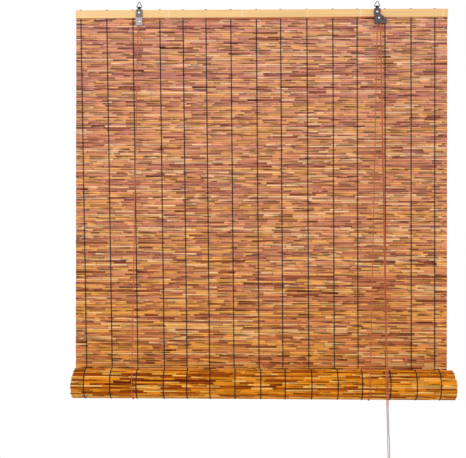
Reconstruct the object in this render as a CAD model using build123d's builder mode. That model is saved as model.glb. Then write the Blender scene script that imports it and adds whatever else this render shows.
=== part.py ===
from build123d import *
from math import atan2, cos, pi, radians, sin, tan
import os

os.makedirs("parts", exist_ok=True)

# Reed mat: the hung part is one wall of horizontal reeds
mat_width = 1200.0
mat_drop = 1200.0
reed_pitch = 6.0
reed_thickness = 5.5
ridge_height = 0.8
gap_height = 0.9
gap_margin = 8.0
gap_first_row = 7
gap_row_step = 3
gap_bay_step_count = 5

# Warp threads that bind the reeds, front and back
thread_width = 2.0
thread_thickness = 1.2
thread_left_margin = 15.3
thread_right_margin = 40.6
thread_left_lean = 22.0
thread_right_lean = 1.0
thread_crown_rise = 3.2
thread_nip_gap = 24.0
thread_offset_shares = (
    0, 0.034, 0.074, 0.145, 0.065, -0.024, -0.039, -0.028, -0.069, -0.031, -0.009, -0.056, 0.042, 0.065, 0
)

# Rolled-up end of the mat and the bar that it is wound on
roll_radius = 49.0
roll_turn_pitch = 6.3
roll_half_turns = 11
roll_left_spread = 1.0
roll_right_spread = 16.0
roll_thread_shift = 4.5
bar_wall = 3.4
bar_clearance = 0.2
ring_facets = 8
ring_end_share = 0.72

# Head battens of split bamboo
batten_height = 26.0
batten_thickness = 5.0
batten_edge_radius = 1.2
batten_node_width = 5.0
batten_node_rise = 0.4
front_node_shares = (-0.478, -0.247, -0.05, 0.125, 0.268, 0.487)
back_node_shares = (-0.402, -0.188, 0.031, 0.219, 0.386)
mat_top_inset = 0.4

# Hangers: triangle ring, strap, plate and the rivet through the head
left_hanger_thread_count = 3
left_hanger_share = 0.251
right_hanger_thread_count = 12
right_hanger_share = 0.7132
ring_wire = 2.2
ring_width = 19.0
ring_rise = 16.8
ring_corner_radius = 2.6
ring_bevel = 0.6
ring_bar_height = 8.0
ring_swing_clearance = 0.3
strap_width = 10.5
strap_thickness = 1.6
strap_tail = 4.5
plate_width = 21.0
plate_thickness = 1.2
plate_rise = 1.6
left_plate_drop = 25.0
right_plate_drop = 21.2
plate_corner_radius = 2.0
rivet_drop = 9.7
rivet_radius = 1.8
rivet_head_radius = 3.4
rivet_head_height = 1.6
rivet_tail_length = 3.6
rivet_tail_head = 1.0
head_crown_share = 0.5

# Pulley housings, wheels and axles
housing_sheet = 1.2
housing_seat = 0.2
housing_corner_radius = 1.6
left_tab_width = 17.0
lock_tab_width = 12.0
tab_rise = 5.0
left_housing_width = 21.8
left_housing_drop = 51.0
left_axle_drop = 39.3
left_axle_offset = 1.5
lock_left_reach = 9.0
lock_right_reach = 29.0
lock_shoulder_reach = 14.3
lock_housing_drop = 48.2
lock_axle_drop = 31.4
lock_axle_offset = 4.6
wheel_radius = 5.7
wheel_width = 5.0
wheel_side_clearance = 0.3
wheel_gap = 0.4
wheel_bore_clearance = 0.2
axle_radius = 1.6
axle_head_radius = 3.2
axle_head_height = 1.4

# Pinch roller of the cord lock and its slanted slot
lock_roller_radius = 3.2
lock_roller_drop = 1.0
lock_trunnion_radius = 1.5
lock_trunnion_reach = 0.6
lock_slot_clearance = 0.25
lock_cord_clearance = 0.3
lock_release_travel = 5.0
lock_slot_angle = 50.0

# Cords
cord_diameter = 3.0
cord_sides = 8
groove_radius = 3.2
groove_clearance = 0.3
strand_start_drop = 7.5
strand_end_gap = 0.3
arc_run_share = 0.45
cord_roll_gap = 0.5
cord_wrap_angle = 12.0
left_sling_share = 0.116
right_sling_share = 0.3735
pull_contact_share = 0.957
pull_contact_spread = 4.6
pull_meet_offset = 2.8
pull_meet_spread = 3.5
pull_meet_depth = 136.0
pull_bow_offset = 4.8
pull_bow_spread = 5.6
pull_bow_depth = 171.0
pull_end_offset = 6.2
pull_end_spread = 4.4
hank_length = 74.0
hank_width = 28.0
hank_depth = 25.0
hank_drop = 238.0
tie_height = 9.0
tie_thickness = 1.4

# Clearances that many pieces share
touch_gap = 0.1
hole_clearance = 0.2
overrun = 4.0

# Depths, worked out from the plane of the hanging rings, y = 0
strap_inner_radius = ring_wire / 2 + ring_swing_clearance
tab_front_y = -strap_inner_radius
batten_front_y = tab_front_y + housing_sheet
thread_layer = thread_thickness + 2 * touch_gap
mat_y = batten_front_y + batten_thickness + thread_layer + reed_thickness / 2
mat_front_y = mat_y - reed_thickness / 2
mat_back_y = mat_y + reed_thickness / 2
back_batten_y = mat_back_y + thread_layer
batten_back_y = back_batten_y + batten_thickness
plate_back_y = tab_front_y - strap_thickness
plate_front_y = plate_back_y - plate_thickness

# Heights, worked out from the hooks' bearing line, z = 0
ring_bar_z = ring_wire / 2 - ring_rise
batten_top_z = ring_bar_z - ring_bar_height
batten_mid_z = batten_top_z - batten_height / 2
mat_top_z = batten_top_z - mat_top_inset
roll_z = mat_top_z - mat_drop
rivet_z = batten_top_z - rivet_drop
left_axle_z = batten_top_z - left_axle_drop
lock_axle_z = batten_top_z - lock_axle_drop

# Thread places across the mat
thread_count = len(thread_offset_shares)
thread_pitch = (mat_width - thread_left_margin - thread_right_margin) / (thread_count - 1)
first_thread_x = thread_left_margin - mat_width / 2
thread_xs = [first_thread_x + (n + share) * thread_pitch for n, share in enumerate(thread_offset_shares)]


def thread_lean(number):
    """How far a thread leans to the right from the mat's top to the roll, counted from the left."""
    share = number / (thread_count - 1)
    return thread_left_lean * (1 - share) + thread_right_lean * share


def thread_at(number, height):
    """Place of a thread across the mat at a height."""
    return thread_xs[number] + thread_lean(number) * (mat_top_z - height) / mat_drop


def in_bay(threads_before, share):
    """Place across the mat between two neighbouring threads, counted from the left."""
    return thread_xs[threads_before - 1] * (1 - share) + thread_xs[threads_before] * share


# Hangers and cords take their places between the threads
left_hanger_x = in_bay(left_hanger_thread_count, left_hanger_share)
right_hanger_x = in_bay(right_hanger_thread_count, right_hanger_share)
left_sling_x = in_bay(left_hanger_thread_count, left_sling_share)
right_sling_x = in_bay(right_hanger_thread_count, right_sling_share)
pull_contact_x = in_bay(right_hanger_thread_count, pull_contact_share)
pull_meet_x = pull_contact_x + pull_meet_offset
pull_bow_x = pull_contact_x + pull_bow_offset
pull_end_x = pull_contact_x + pull_end_offset

# Winding of the roll: half turns about two centres
roll_line_radius = roll_radius - reed_thickness / 2
roll_y = mat_y - roll_line_radius
roll_length = mat_width + roll_left_spread + roll_right_spread
roll_x = (roll_right_spread - roll_left_spread) / 2

# Pulley planes
cord_radius = cord_diameter / 2
cord_line_radius = groove_radius + groove_clearance + cord_radius
groove_half_width = cord_radius + groove_clearance
rear_wheel_y = tab_front_y - wheel_side_clearance - wheel_width / 2
front_wheel_y = rear_wheel_y - wheel_width - wheel_gap
left_cheek_y = rear_wheel_y - wheel_width / 2 - wheel_side_clearance
lock_cheek_y = front_wheel_y - wheel_width / 2 - wheel_side_clearance
left_axle_x = left_hanger_x + left_axle_offset
lock_axle_x = right_hanger_x + lock_axle_offset
rivet_hole_radius = rivet_radius + hole_clearance
axle_hole_radius = axle_radius + touch_gap


def half_turn(k):
    """Line radius and centre of the roll's half turn k, counted from the outside."""
    radius = roll_line_radius - k * roll_turn_pitch / 2
    centre_y = roll_y - (roll_turn_pitch / 2 if k % 2 else 0)
    return radius, centre_y


def on_turn(k, radius, share):
    """Point of half turn k, from its start (share 0) to its end (share 1): back, bottom, front, top, back."""
    _, centre_y = half_turn(k)
    angle = pi * (share + k % 2)
    return (centre_y + radius * cos(angle), roll_z - radius * sin(angle))


def cord_section(path):
    """Plane across the start of a cord's path."""
    return Plane(origin=path @ 0, z_dir=path % 0)


def route_radii(points):
    """Arc radius at each inner point of a cord's route, as large as its two runs allow."""
    radii = []
    for before, here, after in zip(points, points[1:], points[2:]):
        arriving = Vector(here) - Vector(before)
        leaving = Vector(after) - Vector(here)
        half_angle = radians(arriving.get_angle(leaving)) / 2
        radii.append(arc_run_share * min(arriving.length, leaving.length) / tan(half_angle))
    return radii


# Reed mat: ridges front and back, one ridge to a reed, gaps between some reeds and the rivets' holes
reed_rows = round(mat_drop / reed_pitch)
valley_front_y = mat_front_y + ridge_height
valley_back_y = mat_back_y - ridge_height
mat_bottom_z = roll_z + ring_swing_clearance
row_height = (mat_top_z - mat_bottom_z) / reed_rows
front_ridges = [(valley_front_y, mat_top_z)]
back_ridges = [(valley_back_y, mat_top_z)]
for row in range(reed_rows):
    upper_z = mat_top_z - row * row_height
    front_ridges += [(mat_front_y, upper_z - row_height / 2), (valley_front_y, upper_z - row_height)]
    back_ridges += [(mat_back_y, upper_z - row_height / 2), (valley_back_y, upper_z - row_height)]
with BuildPart() as reed_mat:
    with BuildSketch(Plane.YZ):
        with BuildLine():
            Polyline(*front_ridges, *reversed(back_ridges), close=True)
        make_face()
    extrude(amount=mat_width / 2, both=True)
    with BuildSketch(Plane.XZ.offset(-mat_y)):
        with Locations((left_hanger_x, rivet_z), (right_hanger_x, rivet_z)):
            Circle(rivet_hole_radius)
        for number, row in enumerate(range(gap_first_row, reed_rows, gap_row_step)):
            bay = number * gap_bay_step_count % (thread_count - 1)
            gap_z = mat_top_z - row * row_height
            bay_start_x = thread_at(bay, gap_z) + gap_margin
            bay_end_x = thread_at(bay + 1, gap_z) - gap_margin
            with Locations(((bay_start_x + bay_end_x) / 2, gap_z)):
                Rectangle(bay_end_x - bay_start_x, gap_height)
    extrude(amount=reed_thickness, both=True, mode=Mode.SUBTRACT)
reed_mat.part.label = "reed_mat"
export_step(reed_mat.part, "parts/reed_mat.step")

# Warp threads: each goes down the front, knotted over the mat's top edge, and down the back, leaning a little
thread_front_y = mat_front_y - touch_gap - thread_thickness
thread_back_y = mat_back_y + touch_gap + thread_thickness
thread_crown = touch_gap + thread_thickness + thread_crown_rise
thread_end = thread_nip_gap - mat_drop
thread_back_end = mat_bottom_z - mat_top_z
for number, thread_x in enumerate(thread_xs):
    lean_angle = atan2(thread_lean(number), mat_drop)
    leaning = Plane(
        origin=(thread_x, 0, mat_top_z), x_dir=(0, 1, 0), z_dir=(cos(lean_angle), 0, sin(lean_angle))
    )
    with BuildPart() as warp_thread:
        with BuildSketch(leaning):
            with BuildLine():
                Polyline(
                    (thread_front_y, thread_end),
                    (thread_front_y, thread_crown),
                    (thread_back_y, thread_crown),
                    (thread_back_y, thread_back_end),
                    (mat_back_y + touch_gap, thread_back_end),
                    (mat_back_y + touch_gap, touch_gap),
                    (mat_front_y - touch_gap, touch_gap),
                    (mat_front_y - touch_gap, thread_end),
                    close=True,
                )
            make_face()
        extrude(amount=thread_width / 2, both=True)
    warp_thread.part.label = f"warp_thread_{number + 1:02d}"
    export_step(warp_thread.part, f"parts/warp_thread_{number + 1:02d}.step")

# Head battens: split bamboo, rounded on the outer edges, with raised nodes
for batten_name, inner_y, outward, node_shares in (
    ("front_batten", batten_front_y + batten_thickness, -1, front_node_shares),
    ("back_batten", back_batten_y, 1, back_node_shares),
):
    face_y = inner_y + outward * batten_thickness
    with BuildPart() as batten:
        with BuildSketch(Plane.YZ):
            with Locations(((inner_y + face_y) / 2, batten_mid_z)):
                Rectangle(batten_thickness, batten_height)
        extrude(amount=mat_width / 2, both=True)
        outer_face = batten.faces().sort_by(Axis.Y)[0 if outward < 0 else -1]
        fillet(outer_face.edges().filter_by(Axis.X), radius=batten_edge_radius)
        for share in node_shares:
            with BuildSketch(Plane.XY.offset(batten_mid_z)):
                with BuildLine():
                    half_node = batten_node_width / 2
                    node_x = share * mat_width
                    crest = (node_x, face_y + outward * batten_node_rise)
                    ThreePointArc((node_x - half_node, face_y), crest, (node_x + half_node, face_y))
                    Line((node_x + half_node, face_y), (node_x - half_node, face_y))
                make_face()
            extrude(amount=batten_height / 2 - batten_edge_radius, both=True)
        with BuildSketch(Plane.XZ.offset(-inner_y)):
            with Locations((left_hanger_x, rivet_z), (right_hanger_x, rivet_z)):
                Circle(rivet_hole_radius)
        extrude(amount=2 * batten_thickness, both=True, mode=Mode.SUBTRACT)
    batten.part.label = batten_name
    export_step(batten.part, f"parts/{batten_name}.step")

# Roll: the wound mat is one spiral wall, ridged like the hung mat on its outer side
with BuildPart() as reed_roll:
    with BuildSketch(Plane.YZ.offset(roll_x)):
        with BuildLine():
            for k in range(roll_half_turns):
                line_radius, _ = half_turn(k)
                crest_radius = line_radius + reed_thickness / 2
                valley_radius = crest_radius - ridge_height
                inner_radius = line_radius - reed_thickness / 2
                ridges = round(pi * crest_radius / reed_pitch)
                outside = [on_turn(k, valley_radius, 0)]
                for ridge in range(ridges):
                    outside.append(on_turn(k, crest_radius, (ridge + 1 / 2) / ridges))
                    outside.append(on_turn(k, valley_radius, (ridge + 1) / ridges))
                Polyline(*outside)
                inside = [on_turn(k, inner_radius, share) for share in (0, 1 / 2, 1)]
                ThreePointArc(*inside)
            outer_radius = roll_radius - ridge_height
            Line(on_turn(0, outer_radius, 0), on_turn(0, roll_radius - reed_thickness, 0))
            Line(on_turn(k, valley_radius, 1), on_turn(k, inner_radius, 1))
        make_face()
    extrude(amount=roll_length / 2, both=True)
reed_roll.part.label = "reed_roll"
export_step(reed_roll.part, "parts/reed_roll.step")

# Bottom bar: a bamboo pole in the eye of the roll
bar_radius = half_turn(roll_half_turns - 1)[0] - reed_thickness / 2 - bar_clearance
with BuildPart() as bottom_bar:
    with BuildSketch(Plane.YZ.offset(roll_x)):
        with Locations((half_turn(roll_half_turns - 1)[1], roll_z)):
            Circle(bar_radius)
            Circle(bar_radius - bar_wall, mode=Mode.SUBTRACT)
    extrude(amount=roll_length / 2, both=True)
bottom_bar.part.label = "bottom_bar"
export_step(bottom_bar.part, "parts/bottom_bar.step")

# Threads round the roll: each spans from reed to reed over the outer turn, up to the nip behind the roll
facet_stretch = 1 / cos(pi / ring_facets / 2)
with BuildPart() as roll_threads:
    for number in range(thread_count):
        with BuildSketch(Plane.YZ.offset(thread_at(number, roll_z) + roll_thread_shift)):
            with BuildLine():
                inner_points = []
                outer_points = []
                for k, end_share in ((0, 1), (1, ring_end_share)):
                    seat_radius = half_turn(k)[0] + reed_thickness / 2 + touch_gap
                    for facet in range(0 if k == 0 else 1, ring_facets + 1):
                        share = end_share * facet / ring_facets
                        inner_points.append(on_turn(k, seat_radius * facet_stretch, share))
                        outer_points.append(on_turn(k, (seat_radius + thread_thickness) * facet_stretch, share))
                Polyline(*inner_points, *reversed(outer_points), close=True)
            make_face()
        extrude(amount=thread_width / 2, both=True)
roll_threads.part.label = "roll_threads"
export_step(roll_threads.part, "parts/roll_threads.step")

# Triangle rings: a closed ring with a straight bar in its strap and a rounded apex for the hook
ring_corner_x = (ring_width - ring_wire) / 2 - ring_corner_radius
ring_corner_z = ring_bar_z + ring_corner_radius
ring_apex_z = ring_wire / 2 - ring_corner_radius
for side, hanger_x in (("left", left_hanger_x), ("right", right_hanger_x)):
    ring_corners = [
        (hanger_x - ring_corner_x, ring_corner_z),
        (hanger_x + ring_corner_x, ring_corner_z),
        (hanger_x, ring_apex_z),
    ]
    with BuildPart() as hanger_ring:
        with BuildSketch(Plane.XZ):
            with Locations(*ring_corners):
                Circle(ring_corner_radius + ring_wire / 2)
            make_hull()
        extrude(amount=ring_wire / 2, both=True)
        with BuildSketch(Plane.XZ):
            with Locations(*ring_corners):
                Circle(ring_corner_radius - ring_wire / 2)
            make_hull()
        extrude(amount=ring_wire, both=True, mode=Mode.SUBTRACT)
        ring_sides = hanger_ring.faces().filter_by(Axis.Y)
        chamfer(ring_sides.edges(), length=ring_bevel)
    hanger_ring.part.label = f"{side}_hanger_ring"
    export_step(hanger_ring.part, f"parts/{side}_hanger_ring.step")

# Straps: a loop round the ring's bar with a tail that the rivet clamps behind the plate
strap_outer_radius = strap_inner_radius + strap_thickness
strap_bottom_z = rivet_z - strap_tail
for side, hanger_x in (("left", left_hanger_x), ("right", right_hanger_x)):
    with BuildPart() as hanger_strap:
        with BuildSketch(Plane.YZ.offset(hanger_x)):
            with Locations((0, ring_bar_z)):
                Circle(strap_outer_radius)
            with Locations((plate_back_y + strap_thickness / 2, (ring_bar_z + strap_bottom_z) / 2)):
                Rectangle(strap_thickness, ring_bar_z - strap_bottom_z)
            with Locations((0, ring_bar_z)):
                Circle(strap_inner_radius, mode=Mode.SUBTRACT)
        extrude(amount=strap_width / 2, both=True)
        with BuildSketch(Plane.XZ.offset(-plate_back_y)):
            with Locations((hanger_x, rivet_z)):
                Circle(rivet_hole_radius)
        extrude(amount=2 * strap_thickness, both=True, mode=Mode.SUBTRACT)
    hanger_strap.part.label = f"{side}_hanger_strap"
    export_step(hanger_strap.part, f"parts/{side}_hanger_strap.step")

# Hanger plates
for side, hanger_x, plate_drop in (
    ("left", left_hanger_x, left_plate_drop),
    ("right", right_hanger_x, right_plate_drop),
):
    plate_height = plate_rise + plate_drop
    with BuildPart() as hanger_plate:
        with BuildSketch(Plane.XZ.offset(-plate_back_y)):
            with Locations((hanger_x, batten_top_z + plate_rise - plate_height / 2)):
                RectangleRounded(plate_width, plate_height, plate_corner_radius)
            with Locations((hanger_x, rivet_z)):
                Circle(rivet_hole_radius, mode=Mode.SUBTRACT)
        extrude(amount=plate_thickness)
    hanger_plate.part.label = f"{side}_hanger_plate"
    export_step(hanger_plate.part, f"parts/{side}_hanger_plate.step")

# Rivets: crowned head on the plate, shank through the head, tail behind it that the lift cord is tied to
rivet_tail_y = batten_back_y + rivet_tail_length
with BuildPart() as hanger_rivets:
    for hanger_x in (left_hanger_x, right_hanger_x):
        with BuildSketch(Plane.XY.offset(rivet_z)):
            with BuildLine():
                crown_y = plate_front_y - rivet_head_height
                Polyline(
                    (hanger_x, crown_y),
                    (hanger_x, rivet_tail_y + rivet_tail_head),
                    (hanger_x + rivet_head_radius, rivet_tail_y + rivet_tail_head),
                    (hanger_x + rivet_head_radius, rivet_tail_y),
                    (hanger_x + rivet_radius, rivet_tail_y),
                    (hanger_x + rivet_radius, plate_front_y),
                    (hanger_x + rivet_head_radius, plate_front_y),
                    (hanger_x + rivet_head_radius, plate_front_y - rivet_head_height * head_crown_share),
                    (hanger_x + rivet_head_radius * head_crown_share, crown_y),
                    close=True,
                )
            make_face()
        revolve(axis=Axis((hanger_x, 0, rivet_z), (0, 1, 0)))
hanger_rivets.part.label = "hanger_rivets"
export_step(hanger_rivets.part, "parts/hanger_rivets.step")

# Left pulley housing: sheet stirrup whose back cheek runs up behind the hanger plate as a tab
left_housing_top_z = batten_top_z - left_plate_drop - housing_seat
left_housing_bottom_z = batten_top_z - left_housing_drop
left_housing_height = left_housing_top_z - left_housing_bottom_z
tab_top_z = rivet_z + tab_rise
left_depth = batten_front_y - left_cheek_y + housing_sheet
with BuildPart() as left_pulley_housing:
    with BuildSketch(Plane.XZ.offset(-batten_front_y)):
        with Locations((left_hanger_x, (left_housing_top_z + left_housing_bottom_z) / 2)):
            RectangleRounded(left_housing_width, left_housing_height, housing_corner_radius)
    extrude(amount=left_depth)
    with BuildSketch(Plane.XZ.offset(-tab_front_y)):
        with Locations((left_hanger_x, left_housing_top_z - housing_sheet)):
            Rectangle(2 * left_housing_width, 2 * left_housing_height, align=(Align.CENTER, Align.MAX))
    extrude(amount=tab_front_y - left_cheek_y, mode=Mode.SUBTRACT)
    with BuildSketch(Plane.XZ.offset(-batten_front_y)):
        with Locations((left_hanger_x, left_housing_top_z - housing_corner_radius)):
            tab_height = tab_top_z - left_housing_top_z + housing_corner_radius
            Rectangle(left_tab_width, tab_height, align=(Align.CENTER, Align.MIN))
    extrude(amount=housing_sheet)
    with BuildSketch(Plane.XZ.offset(-batten_front_y)):
        with Locations((left_hanger_x, rivet_z)):
            Circle(rivet_hole_radius)
        with Locations((left_axle_x, left_axle_z)):
            Circle(axle_hole_radius)
    extrude(amount=left_depth, mode=Mode.SUBTRACT)
left_pulley_housing.part.label = "left_pulley_housing"
export_step(left_pulley_housing.part, "parts/left_pulley_housing.step")

# Cord lock housing: wider stirrup with a sloping shoulder and a slanted slot in both cheeks
lock_top_z = batten_top_z - right_plate_drop - housing_seat
lock_bottom_z = batten_top_z - lock_housing_drop
lock_left_x = right_hanger_x - lock_left_reach
lock_right_x = right_hanger_x + lock_right_reach
lock_shoulder_x = right_hanger_x + lock_shoulder_reach
lock_shoulder_z = lock_top_z - (lock_right_x - lock_shoulder_x)
lock_depth = batten_front_y - lock_cheek_y + housing_sheet
roller_x = lock_axle_x + cord_line_radius + cord_radius + lock_cord_clearance + lock_roller_radius
roller_z = lock_axle_z - lock_roller_drop
slot_dx = lock_release_travel * cos(radians(lock_slot_angle))
slot_dz = -lock_release_travel * sin(radians(lock_slot_angle))
fold_inset = housing_sheet * tan(radians(45 / 2))
with BuildPart() as lock_housing:
    with BuildSketch(Plane.XZ.offset(-batten_front_y)) as lock_outline:
        with BuildLine():
            Polyline(
                (lock_left_x, lock_bottom_z),
                (lock_left_x, lock_top_z),
                (lock_shoulder_x, lock_top_z),
                (lock_right_x, lock_shoulder_z),
                (lock_right_x, lock_bottom_z),
                close=True,
            )
        make_face()
        fillet(lock_outline.vertices(), radius=housing_corner_radius)
    extrude(amount=lock_depth)
    with BuildSketch(Plane.XZ.offset(-tab_front_y)):
        with BuildLine():
            inner_top_z = lock_top_z - housing_sheet
            inner_shoulder_x = lock_shoulder_x - fold_inset
            slope_run = lock_right_x + overrun - inner_shoulder_x
            Polyline(
                (lock_left_x - overrun, lock_bottom_z - overrun),
                (lock_left_x - overrun, inner_top_z),
                (inner_shoulder_x, inner_top_z),
                (inner_shoulder_x + slope_run, inner_top_z - slope_run),
                (inner_shoulder_x + slope_run, lock_bottom_z - overrun),
                close=True,
            )
        make_face()
    extrude(amount=tab_front_y - lock_cheek_y, mode=Mode.SUBTRACT)
    with BuildSketch(Plane.XZ.offset(-batten_front_y)):
        with Locations((right_hanger_x, lock_top_z - housing_corner_radius)):
            lock_tab_height = tab_top_z - lock_top_z + housing_corner_radius
            Rectangle(lock_tab_width, lock_tab_height, align=(Align.CENTER, Align.MIN))
    extrude(amount=housing_sheet)
    with BuildSketch(Plane.XZ.offset(-batten_front_y)):
        with Locations((right_hanger_x, rivet_z)):
            Circle(rivet_hole_radius)
        with Locations((lock_axle_x, lock_axle_z)):
            Circle(axle_hole_radius)
        with Locations(Location((roller_x + slot_dx / 2, roller_z + slot_dz / 2, 0), (0, 0, -lock_slot_angle))):
            SlotCenterToCenter(lock_release_travel, 2 * (lock_trunnion_radius + lock_slot_clearance))
    extrude(amount=lock_depth, mode=Mode.SUBTRACT)
lock_housing.part.label = "lock_housing"
export_step(lock_housing.part, "parts/lock_housing.step")


def wheel_profile(centre_y):
    """Half section of a pulley wheel in the plane (radius, depth), groove to the outside."""
    bore = axle_radius + wheel_bore_clearance
    front_y = centre_y - wheel_width / 2
    back_y = centre_y + wheel_width / 2
    return [
        (bore, front_y),
        (wheel_radius, front_y),
        (wheel_radius, centre_y - groove_half_width),
        (groove_radius, centre_y - groove_half_width),
        (groove_radius, centre_y + groove_half_width),
        (wheel_radius, centre_y + groove_half_width),
        (wheel_radius, back_y),
        (bore, back_y),
    ]


# Pulley wheels: one in the left housing, two side by side in the lock
for wheel_name, axle_x, axle_z, wheel_ys in (
    ("left_pulley_wheel", left_axle_x, left_axle_z, (rear_wheel_y,)),
    ("lock_wheels", lock_axle_x, lock_axle_z, (rear_wheel_y, front_wheel_y)),
):
    with BuildPart() as wheel:
        for wheel_y in wheel_ys:
            with BuildSketch(Plane.XY.offset(axle_z)):
                with BuildLine():
                    Polyline(*[(axle_x + radius, depth) for radius, depth in wheel_profile(wheel_y)], close=True)
                make_face()
            revolve(axis=Axis((axle_x, 0, axle_z), (0, 1, 0)))
    wheel.part.label = wheel_name
    export_step(wheel.part, f"parts/{wheel_name}.step")

# Axle rivets of the two housings: crowned in front, peened flat behind
axle_tail_y = batten_front_y + axle_head_height
with BuildPart() as axle_rivets:
    for axle_x, axle_z, cheek_y in (
        (left_axle_x, left_axle_z, left_cheek_y),
        (lock_axle_x, lock_axle_z, lock_cheek_y),
    ):
        seat_y = cheek_y - housing_sheet
        with BuildSketch(Plane.XY.offset(axle_z)):
            with BuildLine():
                Polyline(
                    (axle_x, seat_y - axle_head_height),
                    (axle_x, axle_tail_y),
                    (axle_x + axle_head_radius, axle_tail_y),
                    (axle_x + axle_head_radius, batten_front_y),
                    (axle_x + axle_radius, batten_front_y),
                    (axle_x + axle_radius, seat_y),
                    (axle_x + axle_head_radius, seat_y),
                    (axle_x + axle_head_radius, seat_y - axle_head_height * head_crown_share),
                    (axle_x + axle_head_radius * head_crown_share, seat_y - axle_head_height),
                    close=True,
                )
            make_face()
        revolve(axis=Axis((axle_x, 0, axle_z), (0, 1, 0)))
axle_rivets.part.label = "axle_rivets"
export_step(axle_rivets.part, "parts/axle_rivets.step")

# Pinch roller: a drum between the cheeks with a trunnion in each slot
drum_back_y = tab_front_y - wheel_side_clearance
drum_front_y = lock_cheek_y + wheel_side_clearance
trunnion_back_y = batten_front_y
trunnion_front_y = lock_cheek_y - housing_sheet - lock_trunnion_reach
with BuildPart() as lock_roller:
    with BuildSketch(Plane.XZ.offset(-drum_back_y)):
        with Locations((roller_x, roller_z)):
            Circle(lock_roller_radius)
    extrude(amount=drum_back_y - drum_front_y)
    with BuildSketch(Plane.XZ.offset(-trunnion_back_y)):
        with Locations((roller_x, roller_z)):
            Circle(lock_trunnion_radius)
    extrude(amount=trunnion_back_y - trunnion_front_y)
lock_roller.part.label = "lock_roller"
export_step(lock_roller.part, "parts/lock_roller.step")

# Cord round the roll: radius below the axis, smaller radius above it, like the turns inside
sling_radius = roll_radius + cord_roll_gap + cord_radius
wrap_radius = sling_radius - roll_turn_pitch / 2
wrap_centre_y = roll_y - roll_turn_pitch / 2
sling_front_y = roll_y - sling_radius
contact_y = wrap_centre_y - wrap_radius * cos(radians(cord_wrap_angle))
contact_z = roll_z + wrap_radius * sin(radians(cord_wrap_angle))

# Slings: each lift cord passes under the roll from the back to the front
wrap_half = radians(cord_wrap_angle / 2)
wrap_middle_y = wrap_centre_y - wrap_radius * cos(wrap_half)
wrap_middle_z = roll_z + wrap_radius * sin(wrap_half)
with BuildPart() as lift_cord_slings:
    for sling_x in (left_sling_x, right_sling_x):
        with BuildLine() as sling_path:
            below = (sling_x, roll_y, roll_z - sling_radius)
            front = (sling_x, sling_front_y, roll_z)
            ThreePointArc((sling_x, roll_y + sling_radius, roll_z), below, front)
            ThreePointArc(front, (sling_x, wrap_middle_y, wrap_middle_z), (sling_x, contact_y, contact_z))
        with BuildSketch(cord_section(sling_path.line)):
            RegularPolygon(cord_radius, cord_sides)
        sweep()
lift_cord_slings.part.label = "lift_cord_slings"
export_step(lift_cord_slings.part, "parts/lift_cord_slings.step")

# Front strands: from the contact on the roll straight up to the wheels
left_strand_z = left_axle_z - strand_start_drop
lock_strand_z = lock_axle_z - strand_start_drop
for side, sling_x, wheel_x, wheel_y, strand_z in (
    ("left", left_sling_x, left_axle_x - cord_line_radius, rear_wheel_y, left_strand_z),
    ("right", right_sling_x, lock_axle_x - cord_line_radius, front_wheel_y, lock_strand_z),
):
    with BuildPart() as strand:
        with BuildLine() as strand_path:
            Line((sling_x, contact_y, contact_z + strand_end_gap), (wheel_x, wheel_y, strand_z - strand_end_gap))
        with BuildSketch(cord_section(strand_path.line)):
            RegularPolygon(cord_radius, cord_sides)
        sweep()
    strand.part.label = f"{side}_lift_cord_front"
    export_step(strand.part, f"parts/{side}_lift_cord_front.step")

# Back strands: tied in a loop on the rivet's tail, straight down behind the mat to the sling
loop_y = batten_back_y + touch_gap + cord_radius
loop_radius = rivet_radius + cord_radius + hole_clearance
for side, hanger_x, sling_x in (("left", left_hanger_x, left_sling_x), ("right", right_hanger_x, right_sling_x)):
    with BuildPart() as back_strand:
        with BuildSketch(Plane.XZ.offset(-loop_y)):
            with Locations((hanger_x, rivet_z)):
                Circle(loop_radius + cord_radius)
                Circle(loop_radius - cord_radius, mode=Mode.SUBTRACT)
        extrude(amount=cord_radius, both=True)
        with BuildLine() as back_path:
            Line(
                (hanger_x, loop_y, rivet_z - loop_radius),
                (sling_x, roll_y + sling_radius, roll_z + strand_end_gap),
            )
        with BuildSketch(cord_section(back_path.line)):
            RegularPolygon(cord_radius, cord_sides)
        sweep()
    back_strand.part.label = f"{side}_lift_cord_back"
    export_step(back_strand.part, f"parts/{side}_lift_cord_back.step")

# Head cords: the left cord over its wheel, along under the batten and over the lock, and the right cord's bend
quarter = cord_line_radius * cos(radians(45))
with BuildPart() as head_cords:
    for bend_x, bend_axle_z, wheel_y, start_z in (
        (left_axle_x, left_axle_z, rear_wheel_y, left_strand_z),
        (lock_axle_x, lock_axle_z, front_wheel_y, lock_strand_z),
    ):
        with BuildLine() as head_path:
            first_top = (bend_x, wheel_y, bend_axle_z + cord_line_radius)
            lock_top = (lock_axle_x, wheel_y, lock_axle_z + cord_line_radius)
            Line((bend_x - cord_line_radius, wheel_y, start_z), (bend_x - cord_line_radius, wheel_y, bend_axle_z))
            ThreePointArc(
                (bend_x - cord_line_radius, wheel_y, bend_axle_z),
                (bend_x - quarter, wheel_y, bend_axle_z + quarter),
                first_top,
            )
            if bend_x != lock_axle_x:
                Line(first_top, lock_top)
            ThreePointArc(
                lock_top,
                (lock_axle_x + quarter, wheel_y, lock_axle_z + quarter),
                (lock_axle_x + cord_line_radius, wheel_y, lock_axle_z),
            )
            Line(
                (lock_axle_x + cord_line_radius, wheel_y, lock_axle_z),
                (lock_axle_x + cord_line_radius, wheel_y, lock_strand_z),
            )
        with BuildSketch(cord_section(head_path.line)):
            RegularPolygon(cord_radius, cord_sides)
        sweep(transition=Transition.ROUND)
head_cords.part.label = "head_cords"
export_step(head_cords.part, "parts/head_cords.step")

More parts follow.
